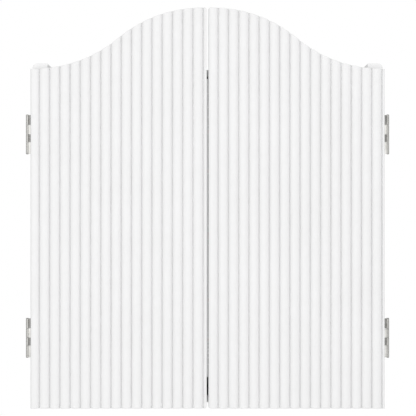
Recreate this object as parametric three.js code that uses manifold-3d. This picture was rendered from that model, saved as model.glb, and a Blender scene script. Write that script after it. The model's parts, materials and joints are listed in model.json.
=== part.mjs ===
// Wall-hung dart board cabinet with two reeded, arched doors.
// Millimetres, +Z up, the doors face -Y. The origin lies on the wall plane,
// straight behind the bull of the dart board.
import * as THREE from 'three';
import { mergeVertices } from 'three/addons/utils/BufferGeometryUtils.js';
import Module from 'manifold-3d';

const wasm = await Module();
wasm.setup();

// ---- driving dimensions ----

const seat = 0.2;                 // gap left between pieces that rest on each other

const boardDiameter = 451;        // regulation bristle board
const boardThickness = 38;
const backingThickness = 6;       // chipboard disc behind the sisal
const rimThickness = 2;

const boardSideRoom = 25.5;       // board to side panel
const boardEndRoom = 23.5;        // board to top and bottom panel
const boardFrontRoom = 28;        // board face to the front edge of the carcass
const sideThickness = 24;
const sideRise = 10;              // side panels stand above the top panel
const sideCornerRadius = 8;
const panelThickness = 12;        // top and bottom panels
const backThickness = 9;
const railHeight = 40;
const railThickness = 12;
const wallHoleRadius = 3;
const wallHoleInset = 90;         // wall-screw hole to side panel

const doorGap = 2.5;              // between the two doors
const doorThickness = 13;         // behind the reeds
const doorOverhang = 6.2;         // doors reach this far below the carcass
const shoulderDrop = 1;           // door shoulder below the top of the carcass
const crownRise = 95.5;           // crown above the shoulder
const meetingCornerRadius = 4;
const reedPitch = 15.9;
const reedHeight = 5;
const firstReedWidths = [13.8, 15.4];  // cut reed at the left edge of the left and the right door
const reedFacets = 5;

const arch = { turnOut: 142, turnDrop: 50, turnSlope: 0.82, crownHandle: 63, turnHandle: 37,
  shoulderHandle: 49 };

const hingeInset = 101.5;         // hinge centre to the end of the carcass
const pinStandOff = 7.7;          // pin axis outside the door's edge
const knuckleRadius = 2.2;
const knuckleLengths = [15.5, 14.2, 12.4, 18];  // from the top down
const knuckleGap = 0.3;
const leafThickness = 1.1;
const leafGap = 0.3;              // between the two folded leaves
const leafReach = 27.2;           // pin axis to the leaf's far edge
const leafOverhang = 0.4;         // plate beyond the door's edge; only the knuckles' necks go further
const pinRadius = 1.1;
const pinHeadRadius = 1.9;
const pinHeadLength = 0.6;
const pinClearance = 0.2;
const knuckleSides = 14;
const boreSides = 10;
const screwSpacing = 36;

const screw = { headRadius: 3.2, headDepth: 1.7, shankRadius: 1.4, clearance: 0.2, sides: 10 };
const hingeScrewLength = 13;
const bracketScrewLength = 9;

const stripWidth = 30;            // closing strip behind the meeting edges
const stripThickness = 8;
const stripLip = 13.2;            // the strip's lip stands this far forward in the gap
const stripCover = 1.85;          // how much of the gap it covers
const stripTopRoom = 4.2;
const stripBottomRoom = 30.4;

const frameBar = 12;
const frameThickness = 6;
const scoreThickness = 3;
const frameSideRoom = 11;         // to the side panel and to the closing strip
const frameTopRoom = 24;
const frameHeight = 350;

const rack = { width: 120, depth: 22, height: 16, rise: 34, notchWidth: 8, notchDepth: 13, notches: 3,
  notchPitch: 34 };

const bracket = { flange: 17, height: 56, sheet: 1.6, slotDepth: 15, boardRoom: 5.2 };
const hanger = { shankRadius: 2.5, headRadius: 6, headThickness: 2.5, length: 34, tipRoom: 2, sides: 12 };
const hangerRoom = { slot: 0.5, headSide: 7.4, headFront: 1.7, headBack: 2.2 };

const catchBody = { width: 46, depth: 16, height: 12, inset: 65, proud: 1.1 };
const strike = { width: 38, height: 10, thickness: 1.2 };

const wire = { width: 1.2, depth: 1.3 };
const spiderRadii = { double: [162, 170], treble: [99, 107], bull: 15.9, innerBull: 6.35 };
const numberRing = { radius: 205, width: 2.4, tabs: 4 };

// ---- derived places ----

const insideWidth = boardDiameter + 2 * boardSideRoom;
const insideHeight = boardDiameter + 2 * boardEndRoom;
const cabinetWidth = insideWidth + 2 * sideThickness;
const carcassTop = insideHeight / 2 + panelThickness;
const carcassBottom = -carcassTop;
const doorBottom = carcassBottom - doorOverhang;
const shoulderZ = carcassTop - shoulderDrop;
const crownZ = shoulderZ + crownRise;
const doorWidth = (cabinetWidth - doorGap) / 2;

const bracketBackY = -backThickness - seat;
const bracketFlangeFrontY = bracketBackY - bracket.sheet;
const hangerHeadBackY = bracketFlangeFrontY - hangerRoom.headBack;
const channelFaceY = hangerHeadBackY - hanger.headThickness - hangerRoom.headFront;
const channelFrontY = channelFaceY - bracket.sheet;
const channelHalfWidth = hanger.headRadius + hangerRoom.headSide + bracket.sheet;
const bracketTop = bracket.slotDepth - hanger.shankRadius - seat;

const boardRadius = boardDiameter / 2;
const boardBackY = channelFrontY - bracket.boardRoom;
const boardFrontY = boardBackY - boardThickness;

const carcassFrontY = boardFrontY - boardFrontRoom;
const cabinetLeafY = carcassFrontY - seat - leafThickness / 2;
const doorLeafY = cabinetLeafY - leafThickness - leafGap;
const pinY = (cabinetLeafY + doorLeafY) / 2;
const doorBackY = doorLeafY - leafThickness / 2 - seat;
const doorPlateY = doorBackY - doorThickness;
const pinX = cabinetWidth / 2 + pinStandOff;
const hingeZ = carcassTop - hingeInset;
const hingeLength = knuckleLengths.reduce((sum, part) => sum + part + knuckleGap, -knuckleGap);

// ---- finishes ----

const finishes = {
  whitePaint: { color: 0xf4f4f2, roughness: 0.5, metalness: 0 },
  satinNickel: { color: 0xb9bab6, roughness: 0.35, metalness: 1 },
  steel: { color: 0xa2a4a6, roughness: 0.4, metalness: 1 },
  sisal: { color: 0x4b4537, roughness: 0.95, metalness: 0 },
  chipboard: { color: 0x9a7a52, roughness: 0.9, metalness: 0 },
  chalkboard: { color: 0x23272a, roughness: 0.85, metalness: 0 },
  beech: { color: 0xc49a64, roughness: 0.55, metalness: 0 },
  blackPlastic: { color: 0x1c1c1d, roughness: 0.5, metalness: 0 },
};

function part(name, geometry, finish) {
  const mesh = new THREE.Mesh(geometry, new THREE.MeshStandardMaterial(finishes[finish]));
  mesh.name = name;
  return mesh;
}

// ---- solids and shapes ----

function solid(geometry) {
  const bare = geometry.clone();
  bare.deleteAttribute('normal');
  bare.deleteAttribute('uv');
  const merged = mergeVertices(bare);
  return new wasm.Manifold(new wasm.Mesh({
    numProp: 3,
    vertProperties: new Float32Array(merged.attributes.position.array),
    triVerts: new Uint32Array(merged.index.array),
  }));
}

function surface(manifold) {
  const mesh = manifold.getMesh();
  const geometry = new THREE.BufferGeometry();
  geometry.setAttribute('position', new THREE.BufferAttribute(mesh.vertProperties, 3));
  geometry.setIndex(new THREE.BufferAttribute(mesh.triVerts, 1));
  geometry.computeVertexNormals();
  return geometry;
}

function cut(body, tools) {
  return surface(tools.reduce((left, tool) => left.subtract(solid(tool)), solid(body)));
}

function join([first, ...others]) {
  return surface(others.reduce((all, body) => all.add(solid(body)), solid(first)));
}

// A block given by its lowest and highest corners.
function block([x0, y0, z0], [x1, y1, z1]) {
  const box = new THREE.BoxGeometry(x1 - x0, y1 - y0, z1 - z0);
  return box.translate((x0 + x1) / 2, (y0 + y1) / 2, (z0 + z1) / 2);
}

// A turned piece around the Y axis, from [radius, y] points.
function turned(points, sides, [x, z] = [0, 0]) {
  const profile = points.map(([radius, y]) => new THREE.Vector2(radius, y));
  return new THREE.LatheGeometry(profile, sides).translate(x, 0, z);
}

const discY = (radius, y0, y1, sides, at) =>
  turned([[0, y0], [radius, y0], [radius, y1], [0, y1]], sides, at);

const ringY = (inner, outer, y0, y1, sides) =>
  turned([[inner, y0], [outer, y0], [outer, y1], [inner, y1], [inner, y0]], sides);

function rodZ(radius, z0, z1, sides, [x, y]) {
  const rod = new THREE.CylinderGeometry(radius, radius, z1 - z0, sides);
  return rod.rotateX(Math.PI / 2).translate(x, y, (z0 + z1) / 2);
}

// An outline drawn in X and Z, made solid from backY towards the front.
function slab(shape, backY, thickness, curveSegments = 12) {
  const settings = { depth: thickness, bevelEnabled: false, curveSegments };
  return new THREE.ExtrudeGeometry(shape, settings).rotateX(Math.PI / 2).translate(0, backY, 0);
}

// ---- screws ----

// Countersunk screw along Y. The head's flat is at y and the point goes towards the given side.
function screwBody([x, y, z], towards, length, clearance = 0) {
  const { headRadius, headDepth, shankRadius } = screw;
  const profile = [
    [0, 0], [headRadius + clearance, 0], [shankRadius + clearance, headDepth + clearance],
    [shankRadius + clearance, length + clearance], [0, length + clearance],
  ];
  const placed = profile.map(([radius, along]) => [radius, y + along * towards]);
  return turned(towards > 0 ? placed : placed.reverse(), screw.sides, [x, z]);
}

const screwHole = (at, towards, length) => screwBody(at, towards, length, screw.clearance);

// ---- carcass ----

const sides = [{ name: 'left', sign: -1 }, { name: 'right', sign: 1 }];
const levels = [{ name: 'upper', z: hingeZ }, { name: 'lower', z: -hingeZ }];
const cabinetHeadY = cabinetLeafY - leafThickness / 2;
const doorHeadY = doorLeafY + leafThickness / 2;
const wallHoleX = insideWidth / 2 - wallHoleInset;
const railCentreZ = insideHeight / 2 - seat - railHeight / 2;

function leafScrewPlaces(sign, headY, z) {
  const x = sign * (cabinetWidth / 2 - sideThickness / 2);
  return [z + screwSpacing / 2, z - screwSpacing / 2].map((at) => [x, headY, at]);
}

const hingeScrewPlaces = (sign, headY) => levels.flatMap(({ z }) => leafScrewPlaces(sign, headY, z));

function sidePanel(sign) {
  const outer = sign * cabinetWidth / 2;
  const inner = outer - sign * sideThickness;
  const top = carcassTop + sideRise;
  const outline = new THREE.Shape();
  outline.moveTo(outer, carcassBottom);
  outline.lineTo(inner, carcassBottom);
  outline.lineTo(inner, top);
  outline.lineTo(outer - sign * sideCornerRadius, top);
  outline.quadraticCurveTo(outer, top, outer, top - sideCornerRadius);
  outline.closePath();
  const holes = hingeScrewPlaces(sign, cabinetHeadY).map((at) => screwHole(at, 1, hingeScrewLength));
  return cut(slab(outline, 0, -carcassFrontY, 6), holes);
}

function endPanel(bottomZ) {
  const half = insideWidth / 2 - seat;
  return block([-half, carcassFrontY, bottomZ], [half, 0, bottomZ + panelThickness]);
}

function wallHoles(y0, y1, z) {
  return [-wallHoleX, wallHoleX].map((x) => discY(wallHoleRadius, y0, y1, 20, [x, z]));
}

function backPanel() {
  const halfX = insideWidth / 2 - seat;
  const halfZ = insideHeight / 2 - seat;
  const panel = block([-halfX, -backThickness, -halfZ], [halfX, 0, halfZ]);
  const holes = [railCentreZ, -railCentreZ].flatMap((z) => wallHoles(-backThickness - 1, 1, z));
  const pilots = bracketScrewPlaces().map((at) => screwHole(at, 1, bracketScrewLength));
  return cut(panel, [...holes, ...pilots]);
}

function hangingRail(z) {
  const half = insideWidth / 2 - seat;
  const back = -backThickness - seat;
  const front = back - railThickness;
  const rail = block([-half, front, z - railHeight / 2], [half, back, z + railHeight / 2]);
  return cut(rail, wallHoles(front - 1, back + 1, z));
}

// ---- board bracket: a hat-section channel with a slot open at the top ----

function bracketScrewPlaces() {
  const x = channelHalfWidth + bracket.flange / 2;
  return [-x, x].map((at) => [at, bracketFlangeFrontY, bracketTop - bracket.height / 2]);
}

function boardBracket() {
  const bottom = bracketTop - bracket.height;
  const halfWidth = channelHalfWidth + bracket.flange;
  const inside = channelHalfWidth - bracket.sheet;
  const upright = (half, frontY) => block([-half, frontY, bottom], [half, bracketBackY, bracketTop]);
  const flanges = upright(halfWidth, bracketFlangeFrontY);
  const channel = upright(channelHalfWidth, channelFrontY);
  const hollow = block([-inside, channelFaceY, bottom - 1], [inside, bracketBackY + 1, bracketTop + 1]);
  const half = hanger.shankRadius + hangerRoom.slot;
  const slotCentre = bracketTop - bracket.slotDepth + half;
  const slot = block([-half, channelFrontY - 1, slotCentre], [half, channelFaceY + 1, bracketTop + 1]);
  const slotEnd = discY(half, channelFrontY - 1, channelFaceY + 1, hanger.sides, [0, slotCentre]);
  const holes = bracketScrewPlaces().map((at) => screwHole(at, 1, bracketScrewLength));
  return cut(join([flanges, channel]), [hollow, slot, slotEnd, ...holes]);
}

// ---- catches ----

const catchTop = insideHeight / 2 - seat;

function magneticCatch(sign) {
  const front = carcassFrontY - catchBody.proud;
  const x = sign * catchBody.inset;
  const low = [x - catchBody.width / 2, front, catchTop - catchBody.height];
  return block(low, [x + catchBody.width / 2, front + catchBody.depth, catchTop]);
}

function strikePlate(sign) {
  const x = sign * catchBody.inset;
  const middle = catchTop - catchBody.height / 2;
  const back = doorBackY + seat;
  const low = [x - strike.width / 2, back, middle - strike.height / 2];
  return block(low, [x + strike.width / 2, back + strike.thickness, middle + strike.height / 2]);
}

// ---- hinges ----

// The stretches of the barrel, from the top down: the cabinet leaf has the first and third.
function knuckles(z) {
  let top = z + hingeLength / 2;
  return knuckleLengths.map((length) => {
    const stretch = { low: top - length, high: top };
    top -= length + knuckleGap;
    return stretch;
  });
}

function hingeLeaf(sign, z, leafY, first, towards) {
  const own = knuckles(z).filter((_, index) => index % 2 === first);
  const axis = sign * pinX;
  const clearX = sign * (cabinetWidth / 2 + leafOverhang);
  const farX = axis - sign * leafReach;
  const [backY, frontY] = [leafY + leafThickness / 2, leafY - leafThickness / 2];
  const span = (x0, x1, low, high) =>
    block([Math.min(x0, x1), frontY, low], [Math.max(x0, x1), backY, high]);
  const plate = span(clearX, farX, z - hingeLength / 2, z + hingeLength / 2);
  const necks = own.map(({ low, high }) => span(axis, clearX - sign, low, high));
  const barrels = own.map(({ low, high }) => rodZ(knuckleRadius, low, high, knuckleSides, [axis, pinY]));
  const bore = rodZ(pinRadius + pinClearance, z - hingeLength, z + hingeLength, boreSides, [axis, pinY]);
  const headY = leafY - towards * leafThickness / 2;
  const holes = leafScrewPlaces(sign, headY, z).map((at) => screwHole(at, towards, hingeScrewLength));
  return cut(join([plate, ...necks, ...barrels]), [bore, ...holes]);
}

function hingePin(sign, z) {
  const at = [sign * pinX, pinY];
  const end = hingeLength / 2 + seat;
  const shaft = rodZ(pinRadius, z - end - pinHeadLength / 2, z + end + pinHeadLength / 2, boreSides, at);
  const heads = [z + end, z - end - pinHeadLength].map((low) =>
    rodZ(pinHeadRadius, low, low + pinHeadLength, boreSides, at));
  return join([shaft, ...heads]);
}

// ---- doors ----

// Plan of one door: flat back and a row of reeds that starts with a cut one at the left edge.
function reededPlan(leftX, firstReedWidth) {
  const rightX = leftX + doorWidth;
  const radius = (reedPitch ** 2 / 4 + reedHeight ** 2) / (2 * reedHeight);
  const firstGroove = leftX + firstReedWidth;
  const frontY = (x) => {
    const fromCentre = THREE.MathUtils.euclideanModulo(x - firstGroove, reedPitch) - reedPitch / 2;
    return doorPlateY - reedHeight + radius - Math.sqrt(radius ** 2 - fromCentre ** 2);
  };
  const facet = reedPitch / reedFacets;
  const firstFacet = Math.ceil((leftX - firstGroove) / facet + 0.01);
  const lastFacet = Math.floor((rightX - firstGroove) / facet - 0.01);
  const count = lastFacet - firstFacet + 1;
  const joints = Array.from({ length: count }, (_, index) => firstGroove + (firstFacet + index) * facet);
  const front = [leftX, ...joints, rightX].map((x) => new THREE.Vector2(x, frontY(x)));
  const [backLeft, backRight] = [leftX, rightX].map((x) => new THREE.Vector2(x, doorBackY));
  return new THREE.Shape([backLeft, ...front, backRight]);
}

function doorOutline(sign) {
  const outer = sign * cabinetWidth / 2;
  const inner = sign * doorGap / 2;
  const round = sign * meetingCornerRadius;
  const turnX = sign * arch.turnOut;
  const turnZ = crownZ - arch.turnDrop;
  const handle = sign * arch.turnHandle;
  const lift = arch.turnHandle * arch.turnSlope;
  const outline = new THREE.Shape();
  outline.moveTo(outer, doorBottom);
  outline.lineTo(inner + round, doorBottom);
  outline.quadraticCurveTo(inner, doorBottom, inner, doorBottom + meetingCornerRadius);
  outline.lineTo(inner, crownZ - meetingCornerRadius);
  outline.quadraticCurveTo(inner, crownZ, inner + round, crownZ);
  outline.bezierCurveTo(sign * arch.crownHandle, crownZ, turnX - handle, turnZ + lift, turnX, turnZ);
  outline.bezierCurveTo(turnX + handle, turnZ - lift, outer - sign * arch.shoulderHandle, shoulderZ,
    outer, shoulderZ);
  outline.closePath();
  return outline;
}

function doorPanel(sign) {
  const leftX = sign < 0 ? -cabinetWidth / 2 : doorGap / 2;
  const settings = { depth: crownZ - doorBottom + 2, bevelEnabled: false };
  const plan = reededPlan(leftX, firstReedWidths[sign < 0 ? 0 : 1]);
  const reeded = new THREE.ExtrudeGeometry(plan, settings).translate(0, 0, doorBottom - 1);
  const outline = slab(doorOutline(sign), doorBackY + 1, doorThickness + reedHeight + 2, 10);
  const holes = hingeScrewPlaces(sign, doorHeadY).map((at) => screwHole(at, -1, hingeScrewLength));
  return cut(surface(solid(reeded).intersect(solid(outline))), holes);
}

// L section: a bar behind the left door, and a thin lip that stands forward in the gap.
function meetingStrip() {
  const left = -doorGap / 2 + seat;
  const right = -doorGap / 2 + stripCover;
  const back = doorBackY + seat;
  const [bottom, top] = [-insideHeight / 2 + stripBottomRoom, insideHeight / 2 - stripTopRoom];
  const bar = block([right - stripWidth, back, bottom], [right, back + stripThickness, top]);
  const lip = block([left, doorBackY - stripLip, bottom], [right, back + 2, top]);
  return surface(solid(bar).add(solid(lip)));
}

// ---- score boards and dart racks ----

const frameOuter = insideWidth / 2 - frameSideRoom;
const frameInner = stripWidth + frameSideRoom;
const frameTop = insideHeight / 2 - frameTopRoom;

function framed(sign, inset, thickness) {
  const near = frameInner + inset;
  const far = frameOuter - inset;
  const back = doorBackY + seat;
  const low = [Math.min(sign * near, sign * far), back, frameTop - frameHeight + inset];
  return block(low, [Math.max(sign * near, sign * far), back + thickness, frameTop - inset]);
}

function scoreFrame(sign) {
  const window = framed(sign, frameBar, frameThickness + 2).translate(0, -1, 0);
  return cut(framed(sign, 0, frameThickness), [window]);
}

const scoreBoard = (sign) => framed(sign, frameBar + seat, scoreThickness);

function dartRack(sign) {
  const centre = sign * (frameOuter + frameInner) / 2;
  const back = doorBackY + seat;
  const rearY = back + rack.depth;
  const bottom = -insideHeight / 2 + rack.rise;
  const top = bottom + rack.height;
  const body = block([centre - rack.width / 2, back, bottom], [centre + rack.width / 2, rearY, top]);
  const notches = Array.from({ length: rack.notches }, (_, index) => {
    const x = centre + (index - (rack.notches - 1) / 2) * rack.notchPitch;
    const endY = rearY - rack.notchDepth + rack.notchWidth / 2;
    const half = rack.notchWidth / 2;
    const mouth = block([x - half, endY, bottom - 1], [x + half, rearY + 1, top + 1]);
    return [mouth, rodZ(half, bottom - 1, top + 1, 12, [x, endY])];
  });
  return cut(body, notches.flat());
}

// ---- dart board ----

const boardSides = 60;
const wireSides = 40;
const innerRadius = boardRadius - rimThickness - seat;
const backingFrontY = boardBackY - backingThickness;

// Turned pieces list their points from the back of the board to its front, so faces point out.
const rimBand = () => ringY(boardRadius - rimThickness, boardRadius, boardFrontY, boardBackY, boardSides);

function hangerHole() {
  return discY(hanger.shankRadius + seat, boardBackY - hanger.length, boardBackY + 1, hanger.sides);
}

const drilledDisc = (y0, y1) => cut(discY(innerRadius, y0, y1, boardSides), [hangerHole()]);
const sisalDisc = () => drilledDisc(boardFrontY, backingFrontY - seat);
const backingDisc = () => drilledDisc(backingFrontY, boardBackY);

function hangingScrew() {
  const { shankRadius, headRadius, headThickness } = hanger;
  const headFrontY = hangerHeadBackY - headThickness;
  const tipY = boardBackY - hanger.length + hanger.tipRoom;
  return turned([[0, tipY], [shankRadius, tipY], [shankRadius, headFrontY], [headRadius, headFrontY],
    [headRadius, hangerHeadBackY], [0, hangerHeadBackY]], hanger.sides);
}

function wireRing(radius, width = wire.width) {
  const back = boardFrontY - seat;
  return ringY(radius - width / 2, radius + width / 2, back - wire.depth, back, wireSides);
}

function wireSpider() {
  const radii = [...spiderRadii.double, ...spiderRadii.treble, spiderRadii.bull];
  const rings = radii.map((radius) => wireRing(radius));
  const back = boardFrontY - seat;
  const spokes = Array.from({ length: 20 }, (_, index) => {
    const spoke = block([-wire.width / 2, back - wire.depth, spiderRadii.bull],
      [wire.width / 2, back, spiderRadii.double[1]]);
    return spoke.rotateY(Math.PI * (index + 0.5) / 10);
  });
  return join([...rings, ...spokes]);
}

function numberRingWire() {
  const back = boardFrontY - seat;
  const tabs = Array.from({ length: numberRing.tabs }, (_, index) => {
    const tab = block([-numberRing.width / 2, back - wire.depth, numberRing.radius],
      [numberRing.width / 2, back, boardRadius - rimThickness]);
    return tab.rotateY(Math.PI * (2 * index + 1.1) / numberRing.tabs);
  });
  return join([wireRing(numberRing.radius, numberRing.width), ...tabs]);
}

// ---- assembly ----

const carcass = new THREE.Group();
carcass.add(
  part('top_panel', endPanel(carcassTop - panelThickness), 'whitePaint'),
  part('bottom_panel', endPanel(carcassBottom), 'whitePaint'),
  part('back_panel', backPanel(), 'whitePaint'),
  part('hanging_rail_top', hangingRail(railCentreZ), 'whitePaint'),
  part('hanging_rail_bottom', hangingRail(-railCentreZ), 'whitePaint'),
  part('board_bracket', boardBracket(), 'steel'),
);
bracketScrewPlaces().forEach((at, index) => {
  carcass.add(part(`bracket_screw_${index + 1}`, screwBody(at, 1, bracketScrewLength), 'steel'));
});

const doors = sides.map(() => new THREE.Group());
const hingeScrew = (name, at, towards) => part(name, screwBody(at, towards, hingeScrewLength), 'satinNickel');

sides.forEach(({ name, sign }, side) => {
  carcass.add(part(`side_panel_${name}`, sidePanel(sign), 'whitePaint'));
  carcass.add(part(`magnetic_catch_${name}`, magneticCatch(sign), 'blackPlastic'));
  doors[side].add(
    part(`door_panel_${name}`, doorPanel(sign), 'whitePaint'),
    part(`strike_plate_${name}`, strikePlate(sign), 'steel'),
    part(`score_frame_${name}`, scoreFrame(sign), 'whitePaint'),
    part(`score_board_${name}`, scoreBoard(sign), 'chalkboard'),
    part(`dart_rack_${name}`, dartRack(sign), 'beech'),
  );
  levels.forEach(({ name: level, z }) => {
    const hinge = `${level}_${name}`;
    carcass.add(part(`cabinet_leaf_${hinge}`, hingeLeaf(sign, z, cabinetLeafY, 0, 1), 'satinNickel'));
    carcass.add(part(`hinge_pin_${hinge}`, hingePin(sign, z), 'satinNickel'));
    doors[side].add(part(`door_leaf_${hinge}`, hingeLeaf(sign, z, doorLeafY, 1, -1), 'satinNickel'));
    [1, 2].forEach((number) => {
      const cabinetAt = leafScrewPlaces(sign, cabinetHeadY, z)[number - 1];
      const doorAt = leafScrewPlaces(sign, doorHeadY, z)[number - 1];
      carcass.add(hingeScrew(`cabinet_screw_${hinge}_${number}`, cabinetAt, 1));
      doors[side].add(hingeScrew(`door_screw_${hinge}_${number}`, doorAt, -1));
    });
  });
});
doors[0].add(part('meeting_strip', meetingStrip(), 'whitePaint'));

const dartBoard = new THREE.Group();
dartBoard.add(
  part('sisal_disc', sisalDisc(), 'sisal'),
  part('backing_disc', backingDisc(), 'chipboard'),
  part('rim_band', rimBand(), 'blackPlastic'),
  part('wire_spider', wireSpider(), 'steel'),
  part('bull_ring', wireRing(spiderRadii.innerBull), 'steel'),
  part('number_ring', numberRingWire(), 'steel'),
  part('hanging_screw', hangingScrew(), 'steel'),
);

const cabinet = new THREE.Group();
cabinet.add(carcass, ...doors, dartBoard);

export default cabinet;
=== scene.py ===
import bpy
import bmesh
import json
import math
import numpy as np
from mathutils import Matrix, Vector

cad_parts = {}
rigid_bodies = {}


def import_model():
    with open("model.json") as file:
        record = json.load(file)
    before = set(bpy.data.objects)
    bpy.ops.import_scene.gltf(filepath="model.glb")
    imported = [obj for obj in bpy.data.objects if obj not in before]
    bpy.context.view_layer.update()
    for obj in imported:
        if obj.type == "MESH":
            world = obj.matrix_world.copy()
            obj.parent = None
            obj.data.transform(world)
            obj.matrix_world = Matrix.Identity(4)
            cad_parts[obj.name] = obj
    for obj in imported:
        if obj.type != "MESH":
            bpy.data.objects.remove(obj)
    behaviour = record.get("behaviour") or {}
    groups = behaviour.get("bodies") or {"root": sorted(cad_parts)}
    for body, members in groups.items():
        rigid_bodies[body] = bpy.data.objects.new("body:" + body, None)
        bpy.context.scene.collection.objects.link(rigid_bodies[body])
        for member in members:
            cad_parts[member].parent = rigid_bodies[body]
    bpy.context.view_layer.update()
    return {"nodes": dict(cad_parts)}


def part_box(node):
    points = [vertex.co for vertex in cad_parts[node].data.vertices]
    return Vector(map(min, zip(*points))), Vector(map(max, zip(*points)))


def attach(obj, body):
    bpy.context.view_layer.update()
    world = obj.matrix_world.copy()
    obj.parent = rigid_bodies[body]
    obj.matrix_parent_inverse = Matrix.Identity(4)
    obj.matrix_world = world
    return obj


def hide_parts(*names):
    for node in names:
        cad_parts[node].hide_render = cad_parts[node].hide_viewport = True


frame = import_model()
nodes = frame["nodes"]
print("frame loaded:", len(nodes), "nodes")

sides = {"left": -1, "right": 1}
levels = ("upper", "lower")
hair = 1e-6  # metres; points nearer than this count as one


def lowHigh(node):
    low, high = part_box(node)
    return np.array(low), np.array(high)


# the camera stands straight in front of the doors, a little above their middle
shot = {"distance": 1.60, "width": 0.6448, "height": 0.0441, "aside": 0.0007, "sensor": 36.0}


def addCamera():
    doorLow, _ = lowHigh("door_panel_left")
    data = bpy.data.cameras.new("camera")
    data.sensor_width = shot["sensor"]
    data.lens = shot["sensor"] * shot["distance"] / shot["width"]
    data.clip_start = 0.01
    camera = bpy.data.objects.new("camera", data)
    camera.location = (shot["aside"], doorLow[1] - shot["distance"], shot["height"])
    camera.rotation_euler = (math.radians(90), 0, 0)
    bpy.context.scene.collection.objects.link(camera)
    bpy.context.scene.camera = camera


addCamera()


class Wire:
    # one output socket, so that shader maths reads as an expression
    def __init__(self, graph, socket):
        self.graph = graph
        self.socket = socket

    def maths(self, operation, first, second):
        return self.graph.node("Math", {"operation": operation}, {0: first, 1: second})

    def __add__(self, other):
        return self.maths("ADD", self, other)

    def __radd__(self, other):
        return self.maths("ADD", other, self)

    def __mul__(self, other):
        return self.maths("MULTIPLY", self, other)

    def __rmul__(self, other):
        return self.maths("MULTIPLY", other, self)


class Graph:
    # the nodes of one material, or of the room's light
    def __init__(self, tree):
        self.tree = tree

    def plug(self, socket, value):
        if isinstance(value, Wire):
            self.tree.links.new(value.socket, socket)
        else:
            socket.default_value = value

    def node(self, kind, settings=None, sockets=None, out=0):
        made = self.tree.nodes.new("ShaderNode" + kind)
        for key, value in (settings or {}).items():
            if key == "stops":
                ramp = made.color_ramp
                for place, _ in value[len(ramp.elements):]:
                    ramp.elements.new(place)
                for element, (place, colour) in zip(ramp.elements, value):
                    element.position = place
                    element.color = colour
            else:
                setattr(made, key, value)
        for key, value in (sockets or {}).items():
            self.plug(made.inputs[key], value)
        return Wire(self, made.outputs[out])


class Finish(Graph):
    # a material under construction; constants go straight on the shader's sockets
    def __init__(self, name, **constants):
        self.material = bpy.data.materials.new(name)
        self.material.use_nodes = True
        super().__init__(self.material.node_tree)
        self.shader = self.tree.nodes["Principled BSDF"]
        for key, value in constants.items():
            self.shader.inputs[key].default_value = value

    def place(self, scale=(1, 1, 1), turn=(0, 0, 0)):
        spot = self.node("TexCoord", out="Object")
        return self.node("Mapping", None, {"Vector": spot, "Scale": scale, "Rotation": turn})

    def noise(self, scale, detail=3.0, stretch=(1, 1, 1), rough=0.55, turn=(0, 0, 0)):
        where = self.place(stretch, turn)
        sockets = {"Vector": where, "Scale": scale, "Detail": detail, "Roughness": rough}
        return self.node("TexNoise", None, sockets)

    def cells(self, scale, out="Distance"):
        return self.node("TexVoronoi", None, {"Vector": self.place(), "Scale": scale}, out)

    def ramp(self, wire, low, high, start=0.0, end=1.0):
        sockets = {"Value": wire, "From Min": low, "From Max": high, "To Min": start, "To Max": end}
        return self.node("MapRange", {"clamp": True}, sockets)

    def tones(self, wire, stops):
        return self.node("ValToRGB", {"stops": stops}, {0: wire})

    def blend(self, amount, first, second):
        return self.node("Mix", {"data_type": "RGBA"}, {0: amount, 6: first, 7: second}, 2)

    def relief(self, layers):
        # each layer is (height, depth in metres); they are stacked from the coarsest
        normal = None
        for height, depth in layers:
            sockets = {"Height": height, "Distance": depth, "Strength": 1.0}
            if normal is not None:
                sockets["Normal"] = normal
            normal = self.node("Bump", None, sockets)
        self.plug(self.shader.inputs["Normal"], normal)

    def done(self, colour, roughness):
        self.plug(self.shader.inputs["Base Color"], colour)
        self.plug(self.shader.inputs["Roughness"], roughness)
        return self.material


def grey(level):
    return (level, level, level, 1.0)


def rgba(red, green, blue):
    return (red, green, blue, 1.0)


paintLook = {
    "doors": {"white": (0.81, 0.81, 0.812), "shade": (0.79, 0.79, 0.79), "gloss": (0.46, 0.56)},
    "carcass": {"white": (0.845, 0.845, 0.847), "shade": (0.82, 0.82, 0.82), "gloss": (0.46, 0.56)},
    "back": {"white": (0.82, 0.82, 0.82), "shade": (0.78, 0.78, 0.778), "gloss": (0.6, 0.72)},
    "frames": {"white": (0.82, 0.82, 0.82), "shade": (0.79, 0.79, 0.788), "gloss": (0.42, 0.52)},
}


def sprayedPaint(name, look):
    # satin lacquer sprayed on MDF: orange peel, faint cloudiness, a few dust nibs
    finish = Finish(name, **{"IOR": 1.47, "Specular IOR Level": 0.42})
    clouds = finish.noise(9.0, 4.0)
    fine = finish.noise(60.0, 2.0)
    tone = finish.ramp(clouds * 0.7 + fine * 0.3, 0.38, 0.72)
    colour = finish.blend(tone, rgba(*look["white"]), rgba(*look["shade"]))
    peel = finish.noise(420.0, 2.0)
    nibs = finish.ramp(finish.cells(95.0), 0.0, 0.06, 1.0, 0.0)
    finish.relief([(clouds, 0.0002), (peel, 0.00005), (nibs, 0.00004)])
    return finish.done(colour, finish.ramp(fine, 0.3, 0.7, *look["gloss"]))


nickelLooks = {
    "satin": {"light": (0.53, 0.525, 0.505), "dark": (0.4, 0.395, 0.378), "gloss": (0.27, 0.42)},
    # painted shade: a dark nickel that stands in for the shadow in the slot between barrel and door edge
    "painted_shade": {"light": (0.2, 0.198, 0.19), "dark": (0.125, 0.123, 0.117), "gloss": (0.4, 0.55)},
}


def satinNickel(name, look):
    finish = Finish(name, **{"Metallic": 1.0, "Anisotropic": 0.35})
    brushed = finish.noise(1.0, 5.0, (40, 40, 2200), 0.7)
    smudge = finish.noise(70.0, 3.0)
    colour = finish.blend(finish.ramp(brushed, 0.3, 0.75), rgba(*look["light"]), rgba(*look["dark"]))
    finish.relief([(brushed, 0.00003)])
    return finish.done(colour, finish.ramp(smudge, 0.3, 0.7, *look["gloss"]))


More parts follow.
